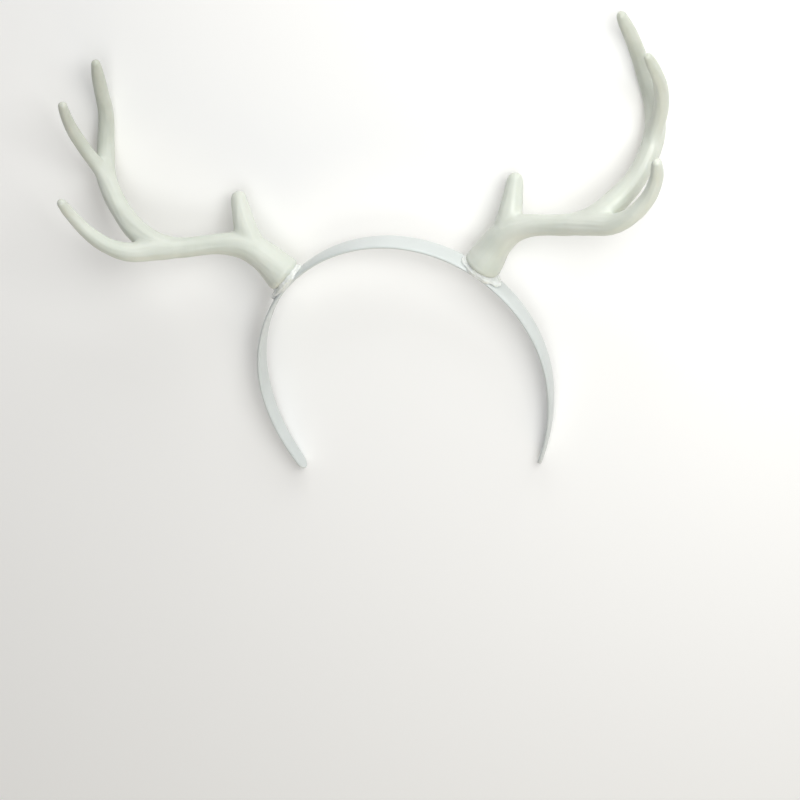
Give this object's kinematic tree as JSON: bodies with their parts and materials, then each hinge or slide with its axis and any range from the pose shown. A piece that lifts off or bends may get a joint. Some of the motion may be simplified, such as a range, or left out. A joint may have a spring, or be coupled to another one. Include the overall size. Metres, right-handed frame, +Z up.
{
  "type": "antler headband",
  "caption": "Costume headband: a thin white moulded band worn over the crown of the head, with branched white antlers glued on at each side.",
  "frame": {"origin": "centre of the bounding box on the floor that the headband lies on", "axes": "+X across, to the right as seen from the front; +Y from the ends of the band towards the antler tips; +Z up, the way the front of the headband faces as it lies on its back"},
  "size_m": [0.3244, 0.2486, 0.0592],
  "materials": {
    "band": "smooth satin white",
    "antler": "soft satin ivory white",
    "glue": "glossy, cloudy clear"
  },
  "bodies": {
    "root": {"band": "band", "antler_left": "antler", "antler_right": "antler", "glue_left": "glue", "glue_right": "glue"}
  },
  "joints": []
}
